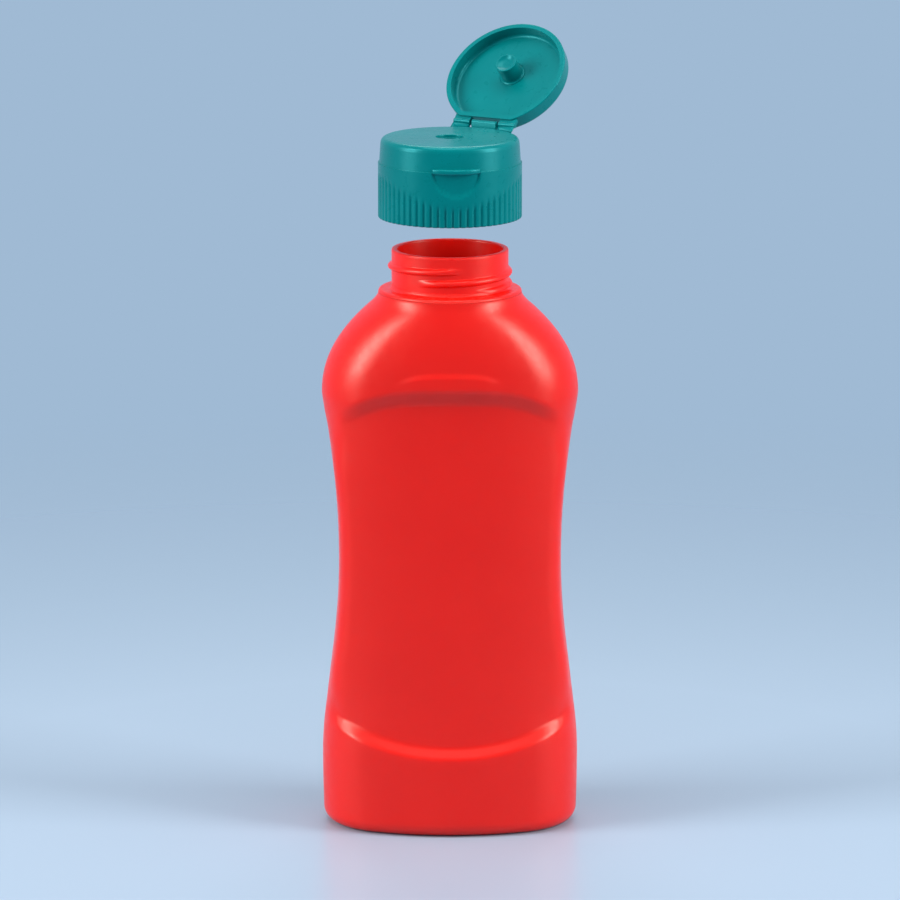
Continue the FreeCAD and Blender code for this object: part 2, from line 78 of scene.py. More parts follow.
FOOT_TAPER = 0.5
FOOT_ROUND = 4.4
FOOT_WIDTH = 5.0            # flat ring that the bottle stands on
FOOT_EDGE = 0.2             # extra row beside the ring's inner edge
PUSH_UP = 3.2               # rise of the base inside the ring
PUSH_UP_SLOPE = 8.0         # run of the slope up to it
BASE_SHARES = (0.02, 0.4, 0.97, 1.0)    # rings of points over the raised base, as shares of its edge
WALL = 1.15
FLOOR_RISE = 1.0            # slope between the inner wall and the inner floor
FLOOR_SHARES = (1.0, 0.97, 0.02)        # rings over the inner floor, as shares of the base's edge

PANEL_DEPTH = 2.4           # label panel behind the proud front
PANEL_RADIUS = 67.0
PANEL_MARGIN = 4.5
PANEL_SIDE = math.radians(5.0)
PANEL_END_HALF = 34.3       # ends of the lower ledge
PANEL_END_SOFT = 1.2        # width over which the lower ledge ends
PANEL_SIDE_FADE = 3.0       # distance beyond them over which the recess runs out
PANEL_END_DEPTH = 0.85      # depth of the panel there, as a share
PANEL_EASE = 22.0           # height over which the panel turns from that to its plain arc
SMILE_Z = 23.5              # foot of the lower ledge at the centre
SMILE_LEDGE = 4.6           # its height
SMILE_RISE = 7.8            # its rise towards the ends
SMILE_EASE = 2.2            # exponent of that rise
SMILE_RUN = 1.02            # the ledge is level beyond this share of its half width
SMILE_FADE = 6.0            # height over which the corners ease from the proud front, above its ends
ARCH_Z = 137.8              # top of the upper ledge at the centre
ARCH_LEDGE = 6.0            # its height
ARCH_FALL = 8.9             # its fall towards the ends
ARCH_EASE = 3.2             # exponent of that fall
ARCH_END_HALF = 33.8
ARCH_RUN = 1.05             # the ledge is level beyond this share of its half width
CORNER_EASE = 20.0          # height over which the corners swell from the proud shell to the panel's
EDGE_SOFT = 0.35            # rounding where the panel runs out into the corner
LEDGE_SOFT = 0.3            # share of a ledge that rounds into the wall at each side
BROW_PROUD = 0.5            # crest over the arch
BROW_HALF = 16.5
BROW_Z = 142.7              # top of the crest at the centre
BROW_LEDGE = 2.0            # height of its upper slope
BROW_FALL = 3.0             # its fall towards the ends
BROW_EASE = 3.0             # exponent of that fall
BROW_FADE = 6.0             # width over which each end runs out

# ---- rows and columns of points on the bottle ---------------------------------------------------------
FRONT_STEPS = 26            # points of a quarter of an outline, on each of its three arcs
CORNER_STEPS = 30
SIDE_STEPS = 6
SMILE_TOP = SMILE_Z + SMILE_RISE + SMILE_LEDGE
ARCH_FOOT = ARCH_Z - ARCH_FALL - ARCH_LEDGE
SMILE_ROWS_END = SMILE_TOP + 1      # close rows over the lower ledge
PANEL_ROWS_START = SMILE_TOP + 1.2  # wider rows over the plain panel
PANEL_ROWS_END = ARCH_FOOT - 3
ARCH_ROWS_START = ARCH_FOOT - 2.6   # close rows over the upper ledge and the crest
ARCH_ROWS_END = BROW_Z + 0.5
DOME_ROWS_START = BROW_Z + 0.8
SMILE_ROW = 0.28            # distance between close rows
ARCH_ROW = 0.3
FOOT_ROWS = 12
PANEL_ROWS = 44
DOME_ROWS = 26
ROUND_ROWS = 9              # rows round the foot's edge, and where the dome turns into the collar
INNER_SKIP = 4              # the inside has one row for this many outside

# ---- neck -------------------------------------------------------------------------------------------
COLLAR_RADIUS = 21.5
COLLAR_Z = 164.0            # ledge on top of the collar
COLLAR_ROUND = 1.1
COLLAR_SOFT = 2.6           # rounding between dome and collar
COLLAR_BLEND_SHARE = 0.6    # end of that rounding up the collar, as a share
COLLAR_WALL_SHARE = 0.62    # and start of the collar's straight wall
NECK_RADIUS = 17.5
BORE_RADIUS = 15.9
NECK_ROOT = 1.0             # rounding between the collar's ledge and the neck
NECK_ROW = 0.16             # distance between rows up the threaded wall
NECK_ROWS_START = 0.1       # first of them above the root's rounding
LIP_Z = 176.0
LIP_ROUND = 0.5
THREAD_START = 15.0         # azimuth of the thread's top end from the front, degrees
THREADS = ((0.0, 410.0), (520.0, 712.0))    # each bead's start and end along the thread, degrees
THREAD_LEAD = 3.5           # fall of the thread in one turn
THREAD_PROUD = 1.15
THREAD_HALF = 1.05          # half height of a bead
THREAD_FULLNESS = 0.7       # exponent of a bead's section
THREAD_DROP = 4.2           # top end of the thread below the lip
THREAD_FADE = 26.0          # degrees over which a bead runs out

# ---- cap, with heights above its underside --------------------------------------------------------------
CAP_Z = 185.6               # underside of the lifted cap
CAP_RADIUS = 21.5
CAP_HEIGHT = 24.1
SKIRT_FOOT = ((0.3, 0.0), (0.1, 0.08), (0.0, 0.3))  # inset and height of points round the lower edge
SKIRT_LOW = 0.6             # first and last of the skirt's rows, the last below the seam
SKIRT_HIGH = 0.06
SKIRT_ROWS = 22
SEAM_Z = 16.5               # seam between ribbed skirt and upper band
SEAM_START = 0.05           # the profile above starts this far below the seam
SEAM_OUTER = 0.04           # roundings of the step at the seam
SEAM_INNER = 0.06
SEAM_STEP = 0.35
DECK_TAPER = 0.5
DECK_ROUND = 1.9
DECK_THICK = 1.5
DECK_RADIUS = CAP_RADIUS - SEAM_STEP - DECK_TAPER
CAP_BORE = 19.1
CAP_THREAD_TOP = 6.8
CAP_THREAD_PROUD = 1.0
BORE_ROW = 0.5              # distance between rows down the bore
BORE_START = 0.2            # first of them below the seat
BORE_END = 0.5              # they stop above this height
BORE_ROUND = 0.2            # lower edge of the bore
SLEEVE_WALL = 1.4           # inner sleeve that seats on the lip
SEAT_Z = 11.5
SEAL_RADIUS = 15.6          # sealing lip that enters the neck
SEAL_DEEP = 2.5
SEAL_WALL = 1.2
SPOUT_DEEP = 3.6
ORIFICE_RADIUS = 3.5
MOUTH_RADIUS = 4.2          # step round the orifice
MOUTH_DEPTH = 1.0
MOUTH_ROUND = 0.3
CRISP = 0.1                 # roundings of small edges
SMALL = 0.2
SOFT = 0.3
CAP_ROUND_STEPS = 6         # points on each rounding
RIB_COUNT = 62
RIB_STEPS = 8               # points of one rib and groove
RIB_SHARE = 0.55            # height on the cosine wave, 0 to 1, at which a groove ends
GROOVE_DEPTH = 0.42
GROOVE_TOP = 13.9
GROOVE_END = 2.4            # run-out of a groove's top
GROOVE_DIP = 7.2            # how much lower the grooves end under the thumb recess
GROOVE_REACH = 30.0         # distance round the skirt over which they come up again
THUMB_TURN = math.radians(5.2)      # thumb recess and tab to the right of the front
THUMB_RADIUS = 7.4
THUMB_DEPTH = 0.55
THUMB_EDGE = 0.5            # width of the recess's edge
TAB_HALF = 7.0
TAB_REACH = 1.3
TAB_THICK = 1.45
TAB_DROP = 0.4              # its underside below the seam
TAB_ROUND = 0.45
TAB_DEEP = 0.7              # its root follows the skirt this far under the surface
TAB_ROOT = 1.0              # and reaches this much further in
TAB_STEPS = 41
BOX_STEPS = 6               # points on each corner of a round-edged box

# ---- hinge and plug -----------------------------------------------------------------------------------
HINGE_TURN = math.radians(30.5)     # hinge to the right of the back
HINGE_RADIUS = 20.6         # hinge axis from the cap's axis
HINGE_RISE = 1.3            # hinge axis above the deck
KNUCKLE_RADIUS = 0.8
LUG_HALF = 4.2              # half length of the cap's own middle segment
LUG_ROUND = 0.7
LUG_EDGE = 0.1              # extra row beside each end
HINGE_SLIT = 0.8            # between the middle segment and each strap
HINGE_HALF = 10.5           # half length of the whole hinge
FILM_HALF = 0.3             # half thickness of the film under each strap
FILM_FOOT = 1.1             # its foot below the deck
FILM_SINK = 0.1             # outer side of its foot inside the deck's edge
FILM_ROOT = 3               # inner side of its foot inside that edge, in half thicknesses
FILM_STEPS = 8
LID_OPEN = math.radians(135.5)
LID_FLOOR = 28.0            # inner face of the shut lid
PLUG_RADIUS = 3.3
PLUG_TIP = 22.2             # end of the plug when the lid is shut
PLUG_RIM = 0.45
PLUG_DISH = 0.75
PLUG_DISH_SHARE = 0.7       # flat middle of the dish
PLUG_DISH_ROUND = 1.0
PLUG_OUTER_ROUND = 0.15
PLUG_FLARE = 0.8            # flared foot where the plug meets the lid
PLUG_FLARE_ROUND = 0.05
PLUG_SINK = 0.3             # foot inside the lid's floor
PLUG_STEPS = 64
AXIS_HOLE = 0.02            # radius of the smallest ring of a turned end


# ---- number helpers ---------------------------------------------------------------------------------
def mix(start, end, share):
    """Point or number between two others."""
    return start + (end - start) * share


def ease(share):
    """Smooth step from 0 to 1."""
    share = np.clip(share, 0.0, 1.0)
    return share * share * (3 - 2 * share)


def ledge(share):
    """Straight slope from 0 to 1 that rounds into the wall at both sides."""
    share = np.clip(share, 0.0, 1.0)
    near = np.minimum(share, 1 - share)
    bend = near ** 2 / (2 * LEDGE_SOFT * (1 - LEDGE_SOFT))
    low = np.where(near < LEDGE_SOFT, bend, (near - LEDGE_SOFT / 2) / (1 - LEDGE_SOFT))
    return np.where(share > 0.5, 1 - low, low)


def rounded(corners, steps=5, support=0.15):
    """Outline through (radius, height, rounding) corners, with support points beside each rounding."""
    line = [np.array(corners[0][:2], float)]
    for before, here, after in zip(corners, corners[1:], corners[2:]):
        middle = np.array(here[:2], float)
        start, end = (middle + here[2] * side / np.linalg.norm(side)
                      for side in (np.array(before[:2]) - middle, np.array(after[:2]) - middle))
        for share in np.linspace(0, 1, steps):
            line.append(mix(mix(start, middle, share), mix(middle, end, share), share))
    line.append(np.array(corners[-1][:2], float))
    dense = [line[0]]
    for start, end in zip(line, line[1:]):
        length = np.linalg.norm(end - start)
        if length > 4 * support:
            dense += [mix(start, end, support / length), mix(start, end, 1 - support / length)]
        dense.append(end)
    return dense


def thread(azimuth, z, top_z):
    """Share of full height of the thread's two runs, for azimuth in degrees from the front."""
    proud = np.zeros(np.broadcast(azimuth, z).shape)
    turn = (THREAD_START - azimuth) % 360
    for start, end in THREADS:
        for along in (turn, turn + 360):
            fade = ease(np.minimum(along - start, end - along) / THREAD_FADE)
            aside = (z - top_z + THREAD_LEAD * along / 360) / THREAD_HALF
            proud = np.maximum(proud, fade * np.clip(1 - aside ** 2, 0, 1) ** THREAD_FULLNESS)
    return proud


# ---- mesh helpers -----------------------------------------------------------------------------------
def piece_from(name, points, faces, material):
    """Object with outward faces and smooth shading, from points in millimetres."""
    mesh = bpy.data.meshes.new(name)
    mesh.from_pydata((np.asarray(points) * MM).tolist(), [], faces)
    shape = bmesh.new()
    shape.from_mesh(mesh)
    bmesh.ops.recalc_face_normals(shape, faces=shape.faces)
    shape.to_mesh(mesh)
    shape.free()
    mesh.shade_smooth()
    mesh.materials.append(material)
    piece = bpy.data.objects.new(name, mesh)
    bpy.context.collection.objects.link(piece)
    return piece


def grid_faces(rows, around, wrap, first=0):
    """Quads of rows that close round; wrap joins the last row to the first, else both ends are filled."""
    row, column = np.meshgrid(np.arange(rows if wrap else rows - 1), np.arange(around), indexing="ij")
    above = (row + 1) % rows
    beside = (column + 1) % around
    corners = ((row, column), (row, beside), (above, beside), (above, column))
    faces = np.stack([first + r * around + c for r, c in corners], axis=-1).reshape(-1, 4).tolist()
    if not wrap:
        faces.append(list(range(first, first + around)))
        faces.append(list(range(first + (rows - 1) * around, first + rows * around)))
    return faces


def level(outline, z):
    """Points of a plan outline at one height."""
    return np.column_stack((outline, np.full(len(outline), z)))


# ---- bottle -----------------------------------------------------------------------------------------
def half_width(z):
    """Side curve of the bottle as seen from the front."""
    if z <= HIP_Z:
        return HIP_HALF - FOOT_TAPER * ((HIP_Z - z) / HIP_Z) ** 2
    if z <= WAIST_Z:
        share = ((z - HIP_Z) / (WAIST_Z - HIP_Z)) ** HIP_EASE
        return mix(HIP_HALF, WAIST_HALF, (1 - math.cos(math.pi * share)) / 2)
    if z <= SHOULDER_Z:
        share = ((SHOULDER_Z - z) / (SHOULDER_Z - WAIST_Z)) ** SHOULDER_EASE
        return mix(SHOULDER_HALF, WAIST_HALF, (1 - math.cos(math.pi * share)) / 2)
    return mix(SHOULDER_HALF, COLLAR_RADIUS, ((z - SHOULDER_Z) / DOME_HEIGHT) ** DOME_EASE)


def half_depth(z):
    """Half depth of the proud shell, without its panels."""
    share = max(0.0, (z - SHOULDER_Z) / DOME_HEIGHT)
    return mix(BODY_HALF_DEPTH, COLLAR_RADIUS, share ** DEPTH_EASE)


def arc(centre_x, centre_y, radius, start, end, steps):
    """Points of an arc up to, but without, its end; angles turn from +X towards the front."""
    turn = np.linspace(start, end, steps, endpoint=False)
    return np.column_stack((centre_x + radius * np.cos(turn), centre_y - radius * np.sin(turn)))


def quarter(centre_x, centre_y, radius, joint, side, width, depth):
    """Outline from the middle of the front to the middle of the side, round a corner arc."""
    front_x = centre_x + radius * math.cos(joint)
    rise = centre_y - radius * math.sin(joint) + depth
    front_radius = (front_x ** 2 + rise ** 2) / (2 * rise)
    side_y = radius * math.sin(side) - centre_y
    gap = width - centre_x - radius * math.cos(side)
    side_radius = (side_y ** 2 + gap ** 2) / (2 * gap)
    front_end = math.acos(front_x / front_radius)
    side_start = math.asin(side_y / side_radius)
    return np.concatenate((
        arc(0, front_radius - depth, front_radius, math.pi / 2, front_end, FRONT_STEPS),
        arc(centre_x, centre_y, radius, joint, side, CORNER_STEPS),
        arc(width - side_radius, 0, side_radius, side_start, 0, SIDE_STEPS),
        [[width, 0]],
    ))


def proud_quarter(width, depth):
    """Quarter outline of the plain oval shell."""
    narrow = (1 - math.sin(PROUD_JOINT)) / math.cos(PROUD_JOINT)
    radius = (depth - width * narrow) / (1 - narrow)
    return quarter(width - radius, 0, radius, PROUD_JOINT, PROUD_SIDE, width, depth)


def panel_quarter(width, depth):
    """Quarter outline at the label panel, with its flatter side."""
    joint = math.acos((width - PANEL_MARGIN) / PANEL_RADIUS)
    lean = math.tan(PANEL_SIDE / 2)
    rise = PANEL_RADIUS * math.sin(joint) - PANEL_RADIUS + depth
    reach = width - PANEL_RADIUS * math.cos(joint) - lean * rise
    radius = reach / (1 - math.cos(joint) - lean * math.sin(joint))
    x = (PANEL_RADIUS - radius) * math.cos(joint)
    y = PANEL_RADIUS - depth - (PANEL_RADIUS - radius) * math.sin(joint)
    return quarter(x, y, radius, joint, PANEL_SIDE, width, depth)


def panel_share(x, z):
    """0 on the proud shell, 1 on the label panel, at a distance x from the middle of the front."""
    beside = ease((x - PANEL_END_HALF + PANEL_END_SOFT / 2) / PANEL_END_SOFT)
    smile = SMILE_Z + SMILE_RISE * np.minimum(x / PANEL_END_HALF, SMILE_RUN) ** SMILE_EASE
    past_ends = ease((z - SMILE_Z - SMILE_RISE) / SMILE_FADE)
    over_smile = mix(ledge((z - smile) / SMILE_LEDGE), past_ends, beside)
    arch = ARCH_Z - ARCH_FALL * np.minimum(x / ARCH_END_HALF, ARCH_RUN) ** ARCH_EASE
    return over_smile * ledge((arch - z) / ARCH_LEDGE)


def recess(points, inward, width, depth, z):
    """How far the wall is drawn in behind the proud shell, and out at the corners beside the panel."""
    panel = panel_quarter(width, depth - PANEL_DEPTH)
    away = [np.interp(0, (panel - point) @ (out[1], -out[0]), (panel - point) @ out)
            for point, out in zip(points, inward)]
    away = np.array(away)
    sunk = (away + np.hypot(away, EDGE_SOFT)) / 2
    swell = sunk - away
    if z < SMILE_Z + PANEL_EASE:
        x = points[:, 0]
        shallow = 1 - (1 - PANEL_END_DEPTH) * np.clip(x / PANEL_END_HALF, 0, 1) ** 2
        shallow *= 1 - ease((x - PANEL_END_HALF) / PANEL_SIDE_FADE)
        sunk = mix(PANEL_DEPTH * shallow, sunk, ease((z - SMILE_Z) / PANEL_EASE))
    low = ease((z - SMILE_Z - SMILE_RISE) / CORNER_EASE)
    high = ease((ARCH_Z - ARCH_FALL - z) / CORNER_EASE)
    return sunk * panel_share(points[:, 0], z) - swell * low * high


def brow(x, z):
    """How far the crest over the arch stands proud."""
    if z < WAIST_Z:
        return np.zeros(len(x))
    top = BROW_Z - BROW_FALL * (x / BROW_HALF) ** BROW_EASE
    return BROW_PROUD * ease((top - z) / BROW_LEDGE) * ease((BROW_HALF - x) / BROW_FADE)


def outline(z, inset=0.0):
    """Closed plan outline at one height, drawn in by the inset."""
    width = half_width(z)
    depth = half_depth(z)
    points = proud_quarter(width, depth)
    if SMILE_Z < z < BROW_Z:
        crest = brow(points[:, 0], z)
        if z < ARCH_Z:
            inward = inward_normals(points, False)
            crest *= 1 - panel_share(points[:, 0], z)
            points = points + inward * recess(points, inward, width, depth, z)[:, None]
        points[:, 1] -= crest
    right = np.concatenate((points, points[-2::-1] * (1, -1)))
    closed = np.concatenate((right, right[-2:0:-1] * (-1, 1)))
    return closed + inset * inward_normals(closed, True)


def inward_normals(points, closed):
    """Unit normals towards the inside of a closed outline, or of an open one from front to side."""
    if closed:
        along = np.roll(points, -1, axis=0) - np.roll(points, 1, axis=0)
    else:
        along = np.gradient(points, axis=0)
        along[0] = (1, 0)
        along[-1] = (0, 1)
    inward = np.column_stack((-along[:, 1], along[:, 0]))
    return inward / np.linalg.norm(inward, axis=1)[:, None]


def turned_rows(profile, directions, threads_from=None):
    """Rows of a turned shape on given directions, with thread beads standing on its wall."""
    azimuth = np.degrees(np.arctan2(directions[:, 0], -directions[:, 1]))
    rows = []
    for radius, z in profile:
        swell = 0.0
        if threads_from is not None and abs(radius - threads_from[0]) < 0.01:
            swell = threads_from[1] * thread(azimuth, z, threads_from[2])
        rows.append(level(directions * np.reshape(radius + swell, (-1, 1)), z))
    return rows


def bottle_shell(material):
    """The whole bottle in rows from the base, up the outside, over the lip and down the inside."""
    base = outline(0.0, FOOT_ROUND + FOOT_WIDTH + PUSH_UP_SLOPE)
    rows = [level(base * share, PUSH_UP) for share in BASE_SHARES]
    rows += [level(outline(0.0, FOOT_ROUND + FOOT_WIDTH - gap), 0.0) for gap in (0.0, FOOT_EDGE)]
    for turn in np.radians(np.linspace(90, 0, ROUND_ROWS)):
        z = FOOT_ROUND * (1 - math.sin(turn))
        rows.append(level(outline(z, FOOT_ROUND * (1 - math.cos(turn))), z))
    dome_end = BODY_TOP - COLLAR_SOFT
    heights = np.concatenate((
        np.linspace(FOOT_ROUND, SMILE_Z, FOOT_ROWS)[1:],
        np.arange(SMILE_Z, SMILE_ROWS_END, SMILE_ROW)[1:],
        np.linspace(PANEL_ROWS_START, PANEL_ROWS_END, PANEL_ROWS),
        np.arange(ARCH_ROWS_START, ARCH_ROWS_END, ARCH_ROW),
        np.linspace(DOME_ROWS_START, dome_end, DOME_ROWS),
    ))
    rows += [level(outline(z), z) for z in heights]
    top = outline(BODY_TOP)
    directions = top / np.linalg.norm(top, axis=1)[:, None]
    corner = level(directions * COLLAR_RADIUS, BODY_TOP)
    above = level(directions * COLLAR_RADIUS, BODY_TOP + COLLAR_SOFT * COLLAR_BLEND_SHARE)
    below = rows[-1]
    rows += [mix(mix(below, corner, share), mix(corner, above, share), share)
             for share in np.linspace(0, 1, ROUND_ROWS)[1:]]
    wall_top = LIP_Z - LIP_ROUND
    wall_foot = COLLAR_Z + NECK_ROOT
    profile = rounded([
        (COLLAR_RADIUS, BODY_TOP + COLLAR_SOFT * COLLAR_WALL_SHARE, 0),
        (COLLAR_RADIUS, COLLAR_Z, COLLAR_ROUND),
        (NECK_RADIUS, COLLAR_Z, NECK_ROOT), (NECK_RADIUS, wall_foot, 0),
    ])
    profile += [(NECK_RADIUS, z) for z in np.arange(wall_foot + NECK_ROWS_START, wall_top, NECK_ROW)]
    profile += rounded([
        (NECK_RADIUS, wall_top, 0), (NECK_RADIUS, LIP_Z, LIP_ROUND), (BORE_RADIUS, LIP_Z, LIP_ROUND),
        (BORE_RADIUS, COLLAR_Z - WALL, WALL / 2), (COLLAR_RADIUS - WALL, COLLAR_Z - WALL, WALL / 2),
        (COLLAR_RADIUS - WALL, BODY_TOP - WALL / 2, 0),
    ])
    rows += turned_rows(profile, directions, (NECK_RADIUS, THREAD_PROUD, LIP_Z - THREAD_DROP))
    for z in heights[::-INNER_SKIP]:
        rows.append(level(outline(z, WALL), min(z, BODY_TOP - 2 * WALL)))
    floor_z = PUSH_UP + WALL
    rows.append(level(outline(FOOT_ROUND, WALL + FLOOR_RISE), WALL + FLOOR_RISE))
    rows.append(level(outline(0.0, FOOT_ROUND + FOOT_WIDTH - WALL), WALL))
    rows += [level(base * share, floor_z) for share in FLOOR_SHARES]
    grid = np.array(rows)
    faces = grid_faces(*grid.shape[:2], False)
    piece = piece_from("bottle_shell", grid.reshape(-1, 3), faces, material)
    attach(piece, "bottle")
    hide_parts("bottle")


# ---- cap --------------------------------------------------------------------------------------------
def skirt_inset(turn, z):
    """How far the ribbed skirt lies behind its full radius, for turn in radians from the front."""
    from_thumb = (turn - THUMB_TURN + math.pi) % (2 * math.pi) - math.pi
    aside = CAP_RADIUS * np.abs(from_thumb)
    top = GROOVE_TOP - GROOVE_DIP * ease(1 - aside / GROOVE_REACH)
    phase = 0.5 + 0.5 * np.cos(from_thumb * RIB_COUNT)
    grooves = GROOVE_DEPTH * (1 - ease(phase / RIB_SHARE)) * ease((top - z) / GROOVE_END)
    away = np.hypot(aside, z - SEAM_Z)
    recess = THUMB_DEPTH * ease((THUMB_RADIUS - away) / THUMB_EDGE) * (z < SEAM_Z)
    return grooves + recess


def cap_profile():
    """Section of the cap from the seam over the deck, through the orifice and back down to the bore."""
    under = CAP_HEIGHT - DECK_THICK
    mouth = CAP_HEIGHT - MOUTH_DEPTH
    spout_end = CAP_HEIGHT - SPOUT_DEEP
    spout = ORIFICE_RADIUS + SEAL_WALL
    sleeve = NECK_RADIUS - SLEEVE_WALL
    shelf = SEAT_Z + SLEEVE_WALL
    seal = SEAL_RADIUS - SEAL_WALL
    seal_end = SEAT_Z - SEAL_DEEP
    profile = rounded([
        (CAP_RADIUS, SEAM_Z - SEAM_START, 0), (CAP_RADIUS, SEAM_Z, SEAM_OUTER),
        (CAP_RADIUS - SEAM_STEP, SEAM_Z, SEAM_INNER), (DECK_RADIUS, CAP_HEIGHT, DECK_ROUND),
        (MOUTH_RADIUS, CAP_HEIGHT, MOUTH_ROUND), (MOUTH_RADIUS, mouth, CRISP), (ORIFICE_RADIUS, mouth, CRISP),
        (ORIFICE_RADIUS, spout_end, SMALL), (spout, spout_end, SMALL), (spout, under, SOFT),
        (sleeve, under, SOFT), (sleeve, shelf, SOFT), (seal, shelf, SMALL), (seal, seal_end, SMALL),
        (SEAL_RADIUS, seal_end, SMALL), (SEAL_RADIUS, SEAT_Z, CRISP), (NECK_RADIUS, SEAT_Z, CRISP),
        (NECK_RADIUS, under, SOFT), (CAP_BORE, under, SOFT), (CAP_BORE, SEAT_Z, 0),
    ], CAP_ROUND_STEPS)
    profile += [(CAP_BORE, z) for z in np.arange(SEAT_Z - BORE_START, BORE_END, -BORE_ROW)]
    return profile[1:] + [(CAP_BORE, BORE_ROUND), (CAP_BORE + BORE_ROUND, 0.0)]


def cap_shell(material):
    """The cap with its tab and the hinge's middle segment."""
    turn = np.linspace(0, 2 * math.pi, RIB_COUNT * RIB_STEPS, endpoint=False)
    directions = np.column_stack((np.sin(turn), -np.cos(turn)))
    skirt = [(CAP_RADIUS - inset, z) for inset, z in SKIRT_FOOT]
    skirt += [(CAP_RADIUS, z) for z in np.linspace(SKIRT_LOW, SEAM_Z - SKIRT_HIGH, SKIRT_ROWS)]
    rows = []
    for radius, z in skirt:
        rows.append(level(directions * (radius - skirt_inset(turn, z))[:, None], z))
    rows += turned_rows(cap_profile(), directions, (CAP_BORE, -CAP_THREAD_PROUD, CAP_THREAD_TOP))
    grid = np.array(rows)
    faces = grid_faces(*grid.shape[:2], True)
    points = [grid.reshape(-1, 3)]
    for part, part_faces in (thumb_tab(), hinge_lug()):
        first = sum(map(len, points))
        faces += [[first + corner for corner in face] for face in part_faces]
        points.append(part)
    points = np.concatenate(points) + (0, 0, CAP_Z)
    piece = piece_from("cap_shell", points, faces, material)
    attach(piece, "bottle")
    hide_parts("cap")


def ribbon(sections):
    """Solid swept through equal closed sections."""
    grid = np.array(sections)
    return grid.reshape(-1, 3), grid_faces(*grid.shape[:2], False)


def round_box(low_a, high_a, low_b, high_b, radius):
    """Closed rectangle with rounded corners, as (a, b) points."""
    line = []
    for a, b, start in ((high_a, high_b, 0), (low_a, high_b, 90), (low_a, low_b, 180), (high_a, low_b, 270)):
        for turn in np.radians(start + np.linspace(0, 90, BOX_STEPS)):
            centre_a = a - radius * (1 if a == high_a else -1)
            centre_b = b - radius * (1 if b == high_b else -1)
            line.append((centre_a + radius * math.cos(turn), centre_b + radius * math.sin(turn)))
    return line


def thumb_tab():
    """Round-edged lip over the recess, a slice of a disc that stands out of the wall."""
    reach = CAP_RADIUS + TAB_REACH
    rise = reach - math.sqrt(CAP_RADIUS ** 2 - TAB_HALF ** 2)
    radius = (TAB_HALF ** 2 + rise ** 2) / (2 * rise)
    low = SEAM_Z - TAB_DROP
    cos, sin = math.cos(THUMB_TURN), math.sin(THUMB_TURN)
    sections = []
    for aside in TAB_HALF * np.sin(np.linspace(-math.pi / 2, math.pi / 2, TAB_STEPS)):
        edge = reach - radius + math.sqrt(radius ** 2 - aside ** 2)
        inner = math.sqrt((CAP_RADIUS - TAB_DEEP) ** 2 - aside ** 2)
        corners = round_box(inner - TAB_ROOT, edge, low, low + TAB_THICK, TAB_ROUND)
        sections.append([(aside * cos + out * sin, -out * cos + aside * sin, z) for out, z in corners])
    return ribbon(sections)


def hinge_lug():
    """Middle segment of the hinge, standing on the edge of the deck."""
    profile = round_box(HINGE_RADIUS - KNUCKLE_RADIUS, HINGE_RADIUS + KNUCKLE_RADIUS,
                        CAP_HEIGHT - DECK_ROUND, CAP_HEIGHT + HINGE_RISE + KNUCKLE_RADIUS, LUG_ROUND)
    cos, sin = math.cos(HINGE_TURN), math.sin(HINGE_TURN)
    sections = []
    for along in (-LUG_HALF, -LUG_HALF + LUG_EDGE, LUG_HALF - LUG_EDGE, LUG_HALF):
        sections.append([(along * cos + out * sin, out * cos - along * sin, z) for out, z in profile])
    return ribbon(sections)


# ---- hinge and plug ---------------------------------------------------------------------------------
def hinge_turned(points):
    """Turn points built at the back to the hinge, and lift them to the cap's place."""
    cos, sin = math.cos(HINGE_TURN), math.sin(HINGE_TURN)
    x, y, z = np.asarray(points, float).T
    return np.column_stack((x * cos + y * sin, y * cos - x * sin, z + CAP_Z))


def opened(points):
    """Swing points of the shut lid to where it stands open."""
    cos, sin = math.cos(LID_OPEN), math.sin(LID_OPEN)
    x, y, z = np.asarray(points, float).T
    y = y - HINGE_RADIUS
    z = z - CAP_HEIGHT - HINGE_RISE
    swung_y = y * cos + z * sin + HINGE_RADIUS
    swung_z = z * cos - y * sin + CAP_HEIGHT + HINGE_RISE
    return np.column_stack((x, swung_y, swung_z))


def hinge_film(material):
    """Thin web from the edge of the deck up to each strap."""
    foot = CAP_HEIGHT - FILM_FOOT
    axis_z = CAP_HEIGHT + HINGE_RISE
    points = []
    faces = []
    for side in (-1, 1):
        sections = []
        for aside in np.linspace(LUG_HALF + HINGE_SLIT, HINGE_HALF, FILM_STEPS):
            edge = math.sqrt(DECK_RADIUS ** 2 - aside ** 2)
            x = side * aside
            sections.append([
                (x, HINGE_RADIUS + FILM_HALF, axis_z), (x, edge - FILM_SINK, foot),
                (x, edge - FILM_ROOT * FILM_HALF, foot), (x, HINGE_RADIUS - FILM_HALF, axis_z),
            ])
        part, part_faces = ribbon(sections)
        faces += [[len(points) + corner for corner in face] for face in part_faces]
        points += part.tolist()
    piece = piece_from("hinge_film", hinge_turned(points), faces, material)
    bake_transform(piece)


